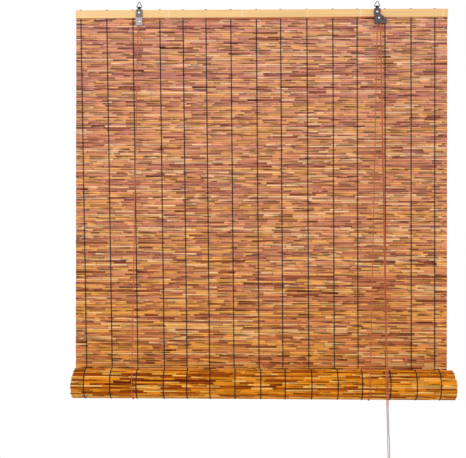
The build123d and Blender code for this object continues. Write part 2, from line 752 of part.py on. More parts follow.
# Pull cord: two strands from the lock's wheels to the roll's front, then down to the hank
pull_line_z = roll_z - hank_drop
for number, strand_side, wheel_y in ((1, -1 / 2, rear_wheel_y), (2, 1 / 2, front_wheel_y)):
    contact_x = pull_contact_x + strand_side * pull_contact_spread
    with BuildPart() as pull_upper:
        with BuildLine() as upper_path:
            Line(
                (lock_axle_x + cord_line_radius, wheel_y, lock_strand_z - strand_end_gap),
                (contact_x, contact_y, contact_z + strand_end_gap),
            )
        with BuildSketch(cord_section(upper_path.line)):
            RegularPolygon(cord_radius, cord_sides)
        sweep()
    pull_upper.part.label = f"pull_cord_upper_{number}"
    export_step(pull_upper.part, f"parts/pull_cord_upper_{number}.step")

    meet_x = pull_meet_x + strand_side * pull_meet_spread
    bow_x = pull_bow_x + strand_side * pull_bow_spread
    pull_route = [
        (contact_x, contact_y, contact_z),
        (contact_x, sling_front_y, roll_z),
        (meet_x, sling_front_y, roll_z - pull_meet_depth),
        (bow_x, sling_front_y, roll_z - pull_bow_depth),
        (pull_end_x + strand_side * pull_end_spread, sling_front_y, pull_line_z),
    ]
    radii = route_radii(pull_route)
    print(f"pull_cord_lower_{number} radii", [round(radius, 1) for radius in radii])
    with BuildPart() as pull_lower:
        with BuildLine() as lower_path:
            FilletPolyline(*pull_route, radius=radii)
        with BuildSketch(cord_section(lower_path.line)):
            RegularPolygon(cord_radius, cord_sides)
        sweep()
    pull_lower.part.label = f"pull_cord_lower_{number}"
    export_step(pull_lower.part, f"parts/pull_cord_lower_{number}.step")

# Hank: the spare length of both strands, folded and tied
hank_mid_z = pull_line_z - touch_gap - hank_length / 2
with BuildPart() as pull_cord_hank:
    with BuildSketch(Plane.XZ.offset(-sling_front_y)):
        with Locations((pull_end_x, hank_mid_z)):
            SlotOverall(hank_length, hank_width, rotation=90)
    extrude(amount=hank_depth / 2, both=True)
pull_cord_hank.part.label = "pull_cord_hank"
export_step(pull_cord_hank.part, "parts/pull_cord_hank.step")

# Tie round the hank
tie_inner_width = hank_width + 2 * touch_gap
tie_inner_depth = hank_depth + 2 * touch_gap
with BuildPart() as hank_tie:
    with BuildSketch(Plane.XY.offset(hank_mid_z)):
        with Locations((pull_end_x, sling_front_y)):
            Rectangle(tie_inner_width + 2 * tie_thickness, tie_inner_depth + 2 * tie_thickness)
            Rectangle(tie_inner_width, tie_inner_depth, mode=Mode.SUBTRACT)
    extrude(amount=tie_height / 2, both=True)
hank_tie.part.label = "hank_tie"
export_step(hank_tie.part, "parts/hank_tie.step")
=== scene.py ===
import random
from math import cos, pi, radians, sin

import bpy
import numpy as np
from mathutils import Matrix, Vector


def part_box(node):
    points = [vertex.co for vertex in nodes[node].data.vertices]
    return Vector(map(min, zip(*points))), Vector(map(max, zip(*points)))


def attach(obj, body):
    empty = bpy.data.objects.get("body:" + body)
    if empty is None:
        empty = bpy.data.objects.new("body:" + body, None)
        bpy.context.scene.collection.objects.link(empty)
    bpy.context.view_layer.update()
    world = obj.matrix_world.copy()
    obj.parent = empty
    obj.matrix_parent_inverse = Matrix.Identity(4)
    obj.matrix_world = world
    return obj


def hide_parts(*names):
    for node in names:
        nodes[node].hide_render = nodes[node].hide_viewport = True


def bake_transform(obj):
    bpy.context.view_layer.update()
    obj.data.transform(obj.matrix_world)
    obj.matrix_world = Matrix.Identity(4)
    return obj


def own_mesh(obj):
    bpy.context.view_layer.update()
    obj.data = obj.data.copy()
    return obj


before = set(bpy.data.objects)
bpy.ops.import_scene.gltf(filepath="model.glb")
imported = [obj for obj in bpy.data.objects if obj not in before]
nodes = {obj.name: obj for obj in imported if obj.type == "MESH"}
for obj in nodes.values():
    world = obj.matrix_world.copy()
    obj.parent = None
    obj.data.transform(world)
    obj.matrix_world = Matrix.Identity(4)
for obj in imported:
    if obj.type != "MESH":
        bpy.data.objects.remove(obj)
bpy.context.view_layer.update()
rng = random.Random(23)

# Reeds, in metres
reed_pitch = 0.006
reed_half_height = 0.00314
reed_half_depth = 0.0026
reed_sides = 10
reed_end_jitter = 0.0012
reed_depth_jitter = 0.0003
reed_thickness_range = (0.98, 1.03)
bow_height = 0.00012
bow_wave_range = (3, 8)
bow_phase_range = (0, 6)
split_row_share = 0.35
split_margin_share = 0.2
half_split_gap = 0.0001

# Internodes, with the swell and the shade of their four stations from node to node; the darker first and
# last stations are painted shadow beside the node rings
internode_range = (0.03, 0.11)
hidden_internode_range = (0.2, 0.4)
nodeless_range = (2, 3)
first_share_range = (0.3, 1)
station_swells = (1.01, 0.99, 0.985, 1)
station_shades = (0.9, 1, 1.04, 0.96)
dash_end_range = (0.25, 0.6)
pale_start_range = (0.65, 0.92)
node_half = 0.0016
node_swell = 1.09
node_shade = 0.55
# Painted gap shadow dash at each node, half as deep
node_dash = 0.5

# Looks of the reeds: shares, and factors of red, green and blue
strange_share = 0.5
level_range = (0.86, 1.14)
turned_share = 0.5
# Dashes are painted shadow: dark lines along one side of a reed, in the gap where it meets the next, from a
# node onwards
dash_share = 0.66
dash_depth_range = (0.5, 1)
gap_shadow_dash_tint = np.array((0.15, 0.045, 0.035))
dash_band_middle = 0.55
dash_band_slope = 1.2
# Painted shade in the gaps between reeds: each reed darkens towards its upper and lower sides, blue most and
# red least
gap_shade_tint = np.array((0.24, 1.06, 1.66))
gap_shade_power = 0.5
window_side_cosine = 0.1

# Twine
thread_count = 15
thread_half_width = 0.001
twine_radius = 0.0016
twine_sides = 5
twine_swing = 0.0026
inner_swing = 0.0012
twine_sway = 0.0007
twine_flatness = 0.4
twine_samples = 4
nip_height = 0.045
nip_swing_share = 0.6
roll_thread_shift = 0.0045
crown_shares = (-0.95, -0.7, 0, 0.7, 0.95)
crown_power = 3
binding_turn_steps = 10
binding_steps = 3 * binding_turn_steps
binding_reach = 1.6 * twine_radius
binding_radius = 0.8 * twine_radius
binding_start_share = 0.35
binding_rise_share = 0.5

# Roll: half turns about two centres, counted from the outside
roll_axis = Vector((0, -0.0373, -1.2241))
roll_line_radius = 0.04625
roll_turn_pitch = 0.0063
roll_half_turns = 11
outer_half_turns = 2
roll_end_slope = 0.007
roll_end_jitter = 0.003
twine_end_share = 0.72

# Cords
cord_radius = 0.0015
cord_sides = 10
route_resolution = 10
route_order = 3
arc_corners = 6
wheel_half_width = 0.0025
line_radius = 0.005
strand_drop = 0.0075
straight_lead = 0.018
contact_lead = 0.012
fade_length = 0.012
loop_radius = 0.0035
loop_corners = 9
loop_first_corner = -1.5
loop_drop = 3 * loop_radius
knot_radius = 0.0032
knot_waist = 0.75
knot_length = 0.006
knot_lift = 0.001
knot_turns = 2
knot_steps = 24
flat_knot_share = 0.5
round_knot_share = 1
sling_radius = 0.051
sling_lead = 0.003
contact_angle = radians(12)
left_sling_x = -0.40506
right_sling_x = 0.34317
pull_contact_x = 0.39553
pull_contact_spread = 0.0046
pull_meet_offset = 0.0028
pull_meet_spread = 0.0035
pull_meet_depth = 0.136
pull_bow_offset = 0.0048
pull_bow_spread = 0.0056
pull_bow_depth = 0.171
pull_end_offset = 0.0062
pull_end_spread = 0.0044
hank_run = 0.046
hank_radii = (0.0092, 0.0124)
hank_turns = (7, 6)
hank_pitch = 0.00315
hank_corners = 5
tie_twine_radius = 0.0007
tie_sides = 8
tie_turn_steps = 32
tie_squareness = 0.35

# Metal parts; of each rivet the radius and height of its head and the thickness of its tail
wire_bend_radius = 0.0026
wire_bend_steps = 9
wire_sides = 12
ring_side_angle = radians(26.5)
hanger_rivet_sizes = (0.0034, 0.0016, 0.001)
axle_rivet_sizes = (0.0032, 0.0014, 0.0014)
rivet_shank = 0.0016
rivet_tail_edge = 0.0002
rivet_tip_radius = 0.00001
rivet_sides = 28
dome_steps = 7

# Grain of the materials, as scales along each axis, with the lengths of their twists
noise_span = (0.25, 0.75)
noise_roughness = 0.55
reed_streaks = (10, 430, 430)
reed_fibres = (40, 2600, 2600)
bamboo_grain = (5, 260, 260)
bamboo_fibres = (30, 1700, 1700)
batten_node_rise = 0.0004
batten_node_fade = 0.0003
past_all_depths = 1
twine_fuzz = (900, 900, 900)
twine_ply_length = 0.0022
cord_fuzz = (700, 700, 700)
cord_plait_length = 0.0032
brush_marks = (2500, 300, 300)
metal_spots = (120, 120, 120)
strap_weave = (900, 900, 900)
nylon_clouds = (200, 200, 200)

# Camera and stage
photo_width = 466
focal_pixels = 959
sensor_width = 36
camera_place = (-0.0066, -3.094, -0.732)
camera_yaw = radians(1.525)
camera_roll = radians(0.075)
floor_z = -1.75
floor_half_width = 2.5
floor_front_y = -2.5
floor_back_y = 1
world_strength = 0.5
lamp_target = (0, 0, -0.65)
lamp_size = 2.4
lamp_places = {"key": (-1.6, -3.2, 1.1), "fill": (2.2, -2.8, -0.3), "window_side": (0.8, 3, 0.6)}
lamp_watts = {"key": 52, "fill": 20, "window_side": 50}


def linear(red, green, blue):
    """Linear colour of an sRGB one that is given in steps of 255."""
    steps = np.array((red, green, blue)) / 255
    return np.where(steps <= 0.04045, steps / 12.92, ((steps + 0.055) / 1.055) ** 2.4)


# Tones of the reeds at the mat's top, at its lower end and on its window side, and how common each is
tone_weights = (30, 26, 18, 16, 8, 2)
top_tones = [linear(246, 191, 139), linear(240, 178, 150), linear(224, 161, 146), linear(252, 212, 180),
             linear(206, 141, 130), linear(170, 105, 80)]
low_tones = [linear(250, 186, 87), linear(239, 164, 94), linear(216, 139, 82), linear(253, 207, 136),
             linear(197, 120, 74), linear(160, 87, 41)]
back_tones = [linear(244, 160, 38), linear(255, 195, 96), linear(212, 121, 24), linear(173, 84, 9),
              linear(255, 212, 122), linear(129, 51, 8)]
cut_tone = linear(226, 190, 140)
# Painted shade of a reed's hollow inside, at the heart of its cut end
hollow_shade_tone = linear(96, 62, 36)

# Tones of the rest
twine_tone = linear(14, 11, 22)
cord_tone = linear(204, 106, 60)
faded_cord_tone = linear(206, 172, 176)
batten_tone = linear(252, 204, 134)
batten_node_tone = linear(252, 224, 176)
pole_tone = linear(214, 166, 98)
strap_tones = ((0.012, 0.012, 0.013), (0.03, 0.03, 0.031))
nylon_tones = ((0.6, 0.57, 0.5), (0.74, 0.72, 0.66))
floor_tone = (0.82, 0.82, 0.81)
white = (1, 1, 1)


class Skin:
    """Vertices, faces, tones and lengths along of one piece, gathered tube by tube."""

    def __init__(self):
        self.points = []
        self.tones = []
        self.along = []
        self.quads = []
        self.fans = []
        self.count = 0

    def add(self, points, tones, along):
        """Adds points with their tones and lengths, and returns their numbers."""
        first = self.count
        self.points.append(points.reshape(-1, 3))
        self.tones.append(np.broadcast_to(tones, points.shape).reshape(-1, 3))
        self.along.append(np.broadcast_to(along, points.shape[:-1]).reshape(-1))
        self.count += points.size // 3
        return np.arange(first, self.count).reshape(points.shape[:-1])

    def tube(self, rings, tones, along):
        """Closes the rings, an array of stations by sides, into a tube."""
        here = self.add(rings, tones, along)
        beside = np.roll(here, -1, axis=1)
        self.quads.append(np.stack((here[:-1], beside[:-1], beside[1:], here[1:]), axis=-1).reshape(-1, 4))

    def cap(self, ring, rim_tone, heart_tone, flip):
        """Closes one end of a tube with a fan."""
        rim = self.add(ring, rim_tone, 0)
        heart = self.add(ring.mean(axis=0, keepdims=True), heart_tone, 0)
        turn = np.roll(rim, 1 if flip else -1)
        self.fans.append(np.stack((np.full_like(rim, heart[0]), rim, turn), axis=-1))

    def piece(self, name, material, slot):
        """The gathered mesh as an object."""
        mesh = bpy.data.meshes.new(name)
        faces = np.concatenate(self.quads).tolist()
        for fan in self.fans:
            faces += fan.tolist()
        mesh.from_pydata(np.concatenate(self.points).tolist(), [], faces)
        mesh.shade_smooth()
        tones = np.concatenate(self.tones)
        layer = mesh.color_attributes.new("tone", "FLOAT_COLOR", "POINT")
        layer.data.foreach_set("color", np.c_[tones, np.ones(len(tones))].astype(np.float32).ravel())
        length = mesh.attributes.new("along", "FLOAT", "POINT")
        length.data.foreach_set("value", np.concatenate(self.along).astype(np.float32))
        mesh.materials.append(material)
        piece = bpy.data.objects.new(name, mesh)
        bpy.context.scene.collection.objects.link(piece)
        return piece


def sweep_rings(path, radius, sides):
    """Rings of a round tube along a path, turned as little as possible from one to the next."""
    path = np.asarray(path, float)
    tangents = np.gradient(path, axis=0)
    tangents /= np.linalg.norm(tangents, axis=1, keepdims=True)
    runs_deep = abs(tangents[0][1]) >= 0.8
    side = np.cross(tangents[0], (1, 0, 0) if runs_deep else (0, 1, 0))
    angles = np.arange(sides) * 2 * pi / sides
    rings = np.empty((len(path), sides, 3))
    for place, (point, tangent) in enumerate(zip(path, tangents)):
        side = side - tangent * side.dot(tangent)
        side /= np.linalg.norm(side)
        across = np.cross(tangent, side)
        rings[place] = point + radius * (np.outer(np.cos(angles), side) + np.outer(np.sin(angles), across))
    return rings


def lengths_along(path):
    """Length of a path up to each of its points."""
    steps = np.linalg.norm(np.diff(np.asarray(path, float), axis=0), axis=1)
    return np.concatenate(([0], np.cumsum(steps)))


def rope(skin, path, radius, sides, tone):
    """A round tube with closed ends along a path, in one tone or with one for each point."""
    rings = sweep_rings(path, radius, sides)
    tones = np.broadcast_to(tone, (len(path), 3))
    skin.tube(rings, tones[:, None], lengths_along(path)[:, None])
    skin.cap(rings[0], tones[0], tones[0], True)
    skin.cap(rings[-1], tones[-1], tones[-1], False)


def flattened(wave, power):
    """A wave with flatter crests: its size to a power below 1, with its sign."""
    return abs(wave) ** power * (1 if wave > 0 else -1)


# Materials
def new_material(name):
    """An empty node material with its principled shader."""
    material = bpy.data.materials.new(name)
    material.use_nodes = True
    tree = material.node_tree
    return material, tree, tree.nodes["Principled BSDF"]


def node(tree, kind, inputs=None, **settings):
    """One shader node, with its settings and the values or links of its inputs."""
    made = tree.nodes.new(kind)
    for key, value in settings.items():
        setattr(made, key, value)
    for key, value in (inputs or {}).items():
        if isinstance(value, bpy.types.NodeSocket):
            tree.links.new(value, made.inputs[key])
        else:
            made.inputs[key].default_value = value
    return made


def point_tone(tree):
    """The tone that the piece's mesh carries at each point."""
    return node(tree, "ShaderNodeAttribute", attribute_name="tone").outputs["Color"]


def wave_along(tree, length):
    """A sine along a cord or strand, from -1 to 1, one wave to each length."""
    along = node(tree, "ShaderNodeAttribute", attribute_name="along").outputs["Fac"]
    turn = node(tree, "ShaderNodeMath", {0: along, 1: 2 * pi / length}, operation="MULTIPLY")
    return node(tree, "ShaderNodeMath", {0: turn.outputs["Value"]}, operation="SINE").outputs["Value"]


def stretched(tree, scale):
    """Object coordinates times a scale on each axis, for grain."""
    place = node(tree, "ShaderNodeTexCoord").outputs["Object"]
    return node(tree, "ShaderNodeMapping", {"Vector": place, "Scale": scale}).outputs["Vector"]


def noise(tree, scale, detail):
    """A noise value between 0 and 1, with a scale on each axis."""
    inputs = {"Vector": stretched(tree, scale), "Scale": 1, "Detail": detail, "Roughness": noise_roughness}
    return node(tree, "ShaderNodeTexNoise", inputs).outputs["Fac"]


def spread(tree, value, first, last):
    """A noise value mapped to a range."""
    inputs = {"Value": value, "To Min": first, "To Max": last}
    inputs["From Min"], inputs["From Max"] = noise_span
    return node(tree, "ShaderNodeMapRange", inputs).outputs["Result"]


def shade(tree, colour, value):
    """A colour times a grey value."""
    mix = node(tree, "ShaderNodeMix", data_type="RGBA", blend_type="MULTIPLY")
    mix.inputs["Factor"].default_value = 1
    tree.links.new(colour, mix.inputs["A"])
    tree.links.new(value, mix.inputs["B"])
    return mix.outputs["Result"]


def two_tone(tree, factor, first, last):
    """A colour between two fixed ones."""
    mix = node(tree, "ShaderNodeMix", {"Factor": factor}, data_type="RGBA")
    mix.inputs["A"].default_value = (*first, 1)
    mix.inputs["B"].default_value = (*last, 1)
    return mix.outputs["Result"]


def bump(tree, shader, height, strength, distance):
    """Relief from a height value."""
    inputs = {"Height": height, "Strength": strength, "Distance": distance}
    made = node(tree, "ShaderNodeBump", inputs)
    tree.links.new(made.outputs["Normal"], shader.inputs["Normal"])


def reed_material():
    """Dry reed: the stem's own tone, deeper or paler in long streaks, with fine fibres and a faint sheen."""
    material, tree, shader = new_material("reed")
    streak = noise(tree, reed_streaks, detail=3)
    fibre = noise(tree, reed_fibres, detail=2)
    deepness = spread(tree, streak, 0.88, 1.12)
    deep = node(tree, "ShaderNodeGamma", {"Color": point_tone(tree), "Gamma": deepness}).outputs["Color"]
    streaked = shade(tree, deep, spread(tree, streak, 1.2, 0.76))
    tree.links.new(shade(tree, streaked, spread(tree, fibre, 0.92, 1.06)), shader.inputs["Base Color"])
    tree.links.new(spread(tree, streak, 0.5, 0.66), shader.inputs["Roughness"])
    shader.inputs["Specular IOR Level"].default_value = 0.05
    bump(tree, shader, fibre, strength=0.35, distance=0.0003)
    return material


def twine_material():
    """Dark twisted cotton."""
    material, tree, shader = new_material("twine")
    fuzz = noise(tree, twine_fuzz, detail=3)
    tree.links.new(shade(tree, point_tone(tree), spread(tree, fuzz, 0.6, 1.5)), shader.inputs["Base Color"])
    shader.inputs["Roughness"].default_value = 0.9
    bump(tree, shader, wave_along(tree, twine_ply_length), strength=0.5, distance=0.0003)
    return material


def cord_material():
    """Braided cord: darker and paler in turn along its length, as painted shade in the plait's grooves and
    painted light on its crests, with a raised plait and some fuzz.
    """
    material, tree, shader = new_material("cord")
    plait = wave_along(tree, cord_plait_length)
    # Painted shade in the plait's grooves and painted light on its crests, in step with its relief
    inputs = {"Value": plait, "From Min": -1, "To Min": 0.84, "To Max": 1.1}
    plait_shaded = shade(tree, point_tone(tree), node(tree, "ShaderNodeMapRange", inputs).outputs["Result"])
    fuzz = noise(tree, cord_fuzz, detail=3)
    tree.links.new(shade(tree, plait_shaded, spread(tree, fuzz, 0.85, 1.12)), shader.inputs["Base Color"])
    shader.inputs["Roughness"].default_value = 0.85
    shader.inputs["Sheen Weight"].default_value = 0.2
    bump(tree, shader, plait, strength=0.4, distance=0.0004)
    return material


def bamboo_material(name, body_tone, node_tone, face_y, outward):
    """Split bamboo: fine grain along the batten, paler on the raised nodes."""
    material, tree, shader = new_material(name)
    grain = noise(tree, bamboo_grain, detail=5)
    fibre = noise(tree, bamboo_fibres, detail=3)
    place = node(tree, "ShaderNodeTexCoord").outputs["Object"]
    depth = node(tree, "ShaderNodeSeparateXYZ", {"Vector": place}).outputs["Y"]
    inputs = {"Value": depth, "From Min": face_y, "From Max": face_y + outward * batten_node_fade}
    raised = node(tree, "ShaderNodeMapRange", inputs).outputs["Result"]
    grained = shade(tree, two_tone(tree, raised, body_tone, node_tone), spread(tree, grain, 0.86, 1.1))
    tree.links.new(shade(tree, grained, spread(tree, fibre, 0.94, 1.05)), shader.inputs["Base Color"])
    tree.links.new(spread(tree, grain, 0.3, 0.45), shader.inputs["Roughness"])
    bump(tree, shader, fibre, strength=0.2, distance=0.0002)
    return material


def metal_material(name, tone, metallic, roughness):
    """Sheet metal with a brushed, slightly spotted finish."""
    material, tree, shader = new_material(name)
    brushed = noise(tree, brush_marks, detail=3)
    spots = noise(tree, metal_spots, detail=4)
    tree.links.new(two_tone(tree, spots, tone * 0.8, tone * 1.15), shader.inputs["Base Color"])
    tree.links.new(spread(tree, brushed, roughness - 0.08, roughness + 0.1), shader.inputs["Roughness"])
    shader.inputs["Metallic"].default_value = metallic
    bump(tree, shader, brushed, strength=0.12, distance=0.0002)
    return material


def strap_material():
    """Black woven webbing."""
    material, tree, shader = new_material("strap")
    weave = node(tree, "ShaderNodeTexChecker", {"Vector": stretched(tree, strap_weave), "Scale": 1})
    weave.inputs["Color1"].default_value = (*strap_tones[0], 1)
    weave.inputs["Color2"].default_value = (*strap_tones[1], 1)
    tree.links.new(weave.outputs["Color"], shader.inputs["Base Color"])
    shader.inputs["Roughness"].default_value = 0.8
    bump(tree, shader, weave.outputs["Fac"], strength=0.4, distance=0.0003)
    return material


def nylon_material():
    """Ivory nylon of the wheels."""
    material, tree, shader = new_material("nylon")
    cloud = noise(tree, nylon_clouds, detail=3)
    tree.links.new(two_tone(tree, cloud, *nylon_tones), shader.inputs["Base Color"])
    shader.inputs["Roughness"].default_value = 0.45
    return material


reed = reed_material()
twine = twine_material()
cord = cord_material()
front_face_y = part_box("front_batten")[0].y + batten_node_rise
back_face_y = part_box("back_batten")[1].y - batten_node_rise
front_bamboo = bamboo_material("front_bamboo", batten_tone, batten_node_tone, front_face_y, -1)
back_bamboo = bamboo_material("back_bamboo", batten_tone, batten_node_tone, back_face_y, 1)
pole_bamboo = bamboo_material("pole_bamboo", pole_tone, pole_tone, past_all_depths, 1)
dark_metal = metal_material("dark_metal", linear(88, 77, 80), metallic=0.6, roughness=0.45)
grey_metal = metal_material("grey_metal", linear(112, 98, 96), metallic=0.5, roughness=0.5)
pale_metal = metal_material("pale_metal", linear(172, 157, 158), metallic=0.3, roughness=0.5)
bright_metal = metal_material("bright_metal", linear(222, 220, 214), metallic=1, roughness=0.22)
wire_metal = metal_material("wire_metal", linear(62, 58, 60), metallic=0.7, roughness=0.4)
strap = strap_material()
nylon = nylon_material()


# Reed stems
def common_kind():
    """A kind of tone, drawn by how common each is."""
    return rng.choices(range(len(tone_weights)), tone_weights)[0]


def pick(kind, lowness):
    """Tones of one internode's front and back, warmer in front the lower it hangs."""
    if rng.random() < strange_share:
        kind = common_kind()
    level = rng.uniform(*level_range)
    front = top_tones[kind] * (1 - lowness) + low_tones[kind] * lowness
    return front * level, back_tones[kind] * level


def stem_stations(start, end, lowness, internodes):
    """Stations of one stem from node to node: place, swell, tones of the front and the back, and the depth
    of its painted gap shadow dash.
    """
    places = [start]
    step = rng.uniform(*first_share_range) * rng.uniform(*internodes)
    while places[-1] + step < end - internodes[0] / 2:
        places.append(places[-1] + step)
        step = rng.uniform(*internodes)
    places.append(end)
    stations = []
    kind = common_kind()
    for first, last in zip(places, places[1:]):
        front, back = pick(kind, lowness)
        run = last - first
        # Depth of this internode's painted shadow dash, or none
        dash = rng.uniform(*dash_depth_range) if rng.random() < dash_share else 0
        marks = (
            first + (node_half if first > start else 0),
            first + run * rng.uniform(*dash_end_range),
            first + run * rng.uniform(*pale_start_range),
            last - (node_half if last < end else 0),
        )
        # The station shades darken the tones beside the nodes as painted shadow
        for mark, swell, share, depth in zip(marks, station_swells, station_shades, (dash, dash, 0, 0)):
            stations.append((mark, swell, front * share, back * share, depth))
        if last < end:
            stations.append((last, node_swell, front * node_shade, back * node_shade, node_dash))
    return stations


def stem(skin, start, end, centre_y, centre_z, back_angle, lowness, internodes):
    """One reed along X whose window side faces back_angle, about X from +Y."""
    stations = stem_stations(start, end, lowness, internodes)
    places, swells, fronts, backs, dashes = (np.array(values) for values in zip(*stations))
    if rng.random() < turned_share:
        places = start + end - places[::-1]
        swells, fronts, backs, dashes = swells[::-1], fronts[::-1], backs[::-1], dashes[::-1]
    swells = swells * rng.uniform(*reed_thickness_range)
    turns = np.arange(reed_sides) * 2 * pi / reed_sides
    bow_phases = places * rng.uniform(*bow_wave_range) + rng.uniform(*bow_phase_range)
    outwards = reed_half_depth * swells[:, None] * np.cos(turns)
    sideways = reed_half_height * swells[:, None] * np.sin(turns) + bow_height * np.sin(bow_phases)[:, None]
    rings = np.empty((len(places), reed_sides, 3))
    rings[:, :, 0] = places[:, None]
    rings[:, :, 1] = centre_y + outwards * cos(back_angle) - sideways * sin(back_angle)
    rings[:, :, 2] = centre_z + outwards * sin(back_angle) + sideways * cos(back_angle)
    backed = (np.cos(turns) > window_side_cosine)[None, :, None]
    # Painted shade: the reed darkens and reddens towards the gaps where it meets its neighbours
    painted_gap_shade = 1 - (1 - np.abs(np.cos(turns)) ** gap_shade_power)[None, :, None] * gap_shade_tint
    # Painted shadow dash on the reed's upper or lower side, next to one of its gaps
    band = np.clip(dash_band_middle + dash_band_slope * rng.choice((-1, 1)) * np.sin(turns), 0, 1)
    shadow_dashed = 1 - (dashes[:, None] * band)[:, :, None] * (1 - gap_shadow_dash_tint)
    skin.tube(rings, np.where(backed, backs[:, None], fronts[:, None]) * painted_gap_shade * shadow_dashed, places[:, None])
    # Cut ends: pale rims and painted shade of the hollow at the heart
    skin.cap(rings[0], cut_tone, hollow_shade_tone, True)
    skin.cap(rings[-1], cut_tone, hollow_shade_tone, False)


def row_of_stems(skin, start, end, *place_and_look):
    """One row of the mat: a single stem, or two that meet end to end."""
    if rng.random() > split_row_share:
        stem(skin, start, end, *place_and_look)
        return
    near_share = 1 - split_margin_share
    first_meet = start * near_share + end * split_margin_share
    last_meet = start * split_margin_share + end * near_share
    meet = rng.uniform(first_meet, last_meet)
    stem(skin, start, meet - half_split_gap, *place_and_look)
    stem(skin, meet + half_split_gap, end, *place_and_look)


mat_low, mat_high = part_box("reed_mat")
mat_y = (mat_low.y + mat_high.y) / 2
mat_rows = round((mat_high.z - mat_low.z) / reed_pitch)
row_height = (mat_high.z - mat_low.z) / mat_rows


def hung_mat():
    """All the rows that hang, in two pieces: an upper and a lower half."""
    pieces = []
    for half, rows in (("upper", range(mat_rows // 2)), ("lower", range(mat_rows // 2, mat_rows))):
        skin = Skin()
        for row in rows:
            start = mat_low.x + rng.uniform(0, reed_end_jitter)
            end = mat_high.x - rng.uniform(0, reed_end_jitter)
            centre_z = mat_high.z - (row + 0.5) * row_height
            centre_y = mat_y + rng.uniform(-reed_depth_jitter, reed_depth_jitter)
            row_of_stems(skin, start, end, centre_y, centre_z, 0, (row + 0.5) / mat_rows, internode_range)
        pieces.append(skin.piece(f"reeds_{half}", reed, "reed"))
    return pieces


def half_turn(k):
    """Line radius and centre depth of the roll's half turn k."""
    return roll_line_radius - k * roll_turn_pitch / 2, roll_axis.y - (roll_turn_pitch / 2 if k % 2 else 0)


def reeds_in(k):
    """How many reeds lie in the roll's half turn k."""
    return round(pi * (half_turn(k)[0] + reed_pitch / 2) / reed_pitch)


def internodes_in(k, reed_number):
    """Range of internode lengths of one of the roll's reeds: the first, in the nip, shows no nodes."""
    if k == 0 and reed_number == 0:
        return nodeless_range
    return internode_range if k < outer_half_turns else hidden_internode_range


def wound_reeds():
    """The rolled part of the mat, reed by reed along its spiral, its ends drawn in towards the top."""
    skin = Skin()
    low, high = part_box("reed_roll")
    for k in range(roll_half_turns):
        radius, centre_y = half_turn(k)
        count = reeds_in(k)
        for reed_number in range(count):
            angle = -pi * ((reed_number + 0.5) / count + k % 2)
            inset = roll_end_slope * max(0, sin(angle))
            start = low.x + inset + rng.uniform(0, roll_end_jitter)
            end = high.x - inset - rng.uniform(0, roll_end_jitter)
            reed_y = centre_y + radius * cos(angle)
            reed_z = roll_axis.z + radius * sin(angle)
            row_of_stems(skin, start, end, reed_y, reed_z, angle, 1, internodes_in(k, reed_number))
    return skin.piece("wound_reeds", reed, "rolled_reed")


# Twine
def thread_ends(number):
    """Places across the mat of a warp's top and of its lower end."""
    low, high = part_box(f"warp_thread_{number:02d}")
    return low.x + thread_half_width, high.x - thread_half_width


def hung_strand(number, side):
    """Points of one of a warp's two strands, from the mat's top down, side +1 starting in front."""
    top_x, end_x = thread_ends(number)
    points = []
    for sample in range(mat_rows * twine_samples):
        rows = (sample + 0.5) / twine_samples
        phase = pi * (rows - 0.5)
        swing = side * twine_swing * flattened(cos(phase), twine_flatness)
        height = mat_high.z - rows * row_height
        if swing > 0 and height < roll_axis.z + nip_height:
            swing *= nip_swing_share
        thread_x = top_x + (end_x - top_x) * rows / mat_rows
        points.append((thread_x + side * twine_sway * sin(phase), mat_y - swing, height))
    return points


def warp(number):
    """One warp: a strand up, over the mat's top edge, its partner down, and the turns that bind both."""
    top_x = thread_ends(number)[0]
    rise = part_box(f"warp_thread_{number:02d}")[1].z - mat_high.z - twine_radius
    crown = []
    for share in crown_shares:
        crown_z = mat_high.z + rise * (1 - abs(share) ** crown_power)
        crown.append((top_x, mat_y + share * twine_swing, crown_z))
    path = hung_strand(number, 1)[::-1] + crown + hung_strand(number, -1)
    skin = Skin()
    rope(skin, path, twine_radius, twine_sides, twine_tone)
    binding = []
    for step in range(binding_steps + 1):
        turn = 2 * pi * step / binding_turn_steps
        share = binding_start_share + binding_rise_share * step / binding_steps
        binding.append((
            top_x + binding_reach * sin(turn),
            mat_y + binding_reach * cos(turn),
            mat_high.z + rise * share,
        ))
    rope(skin, binding, binding_radius, twine_sides, twine_tone)
    return skin.piece(f"warp_twine_{number:02d}", twine, "thread")


def wound_strand(thread_x, side):
    """Points of one strand over the roll's outer turn."""
    points = []
    reeds_before = 0
    for k, end_share in ((0, 1), (1, twine_end_share)):
        radius, centre_y = half_turn(k)
        count = reeds_in(k)
        for sample in range(round(count * end_share * twine_samples)):
            reeds = (sample + 0.5) / twine_samples
            phase = pi * (reeds_before + reeds - 0.5)
            wave = side * flattened(cos(phase), twine_flatness)
            reach = radius + wave * (twine_swing if wave > 0 else inner_swing)
            angle = -pi * (reeds / count + k % 2)
            points.append((
                thread_x + side * twine_sway * sin(phase),
                centre_y + reach * cos(angle),
                roll_axis.z + reach * sin(angle),
            ))
        reeds_before += count
    return points


def wound_twine():
    """The warps' run round the roll."""
    skin = Skin()
    for number in range(1, thread_count + 1):
        thread_x = thread_ends(number)[1] + roll_thread_shift
        for side in (1, -1):
            rope(skin, wound_strand(thread_x, side), twine_radius, twine_sides, twine_tone)
    return skin.piece("wound_twine", twine, "thread")


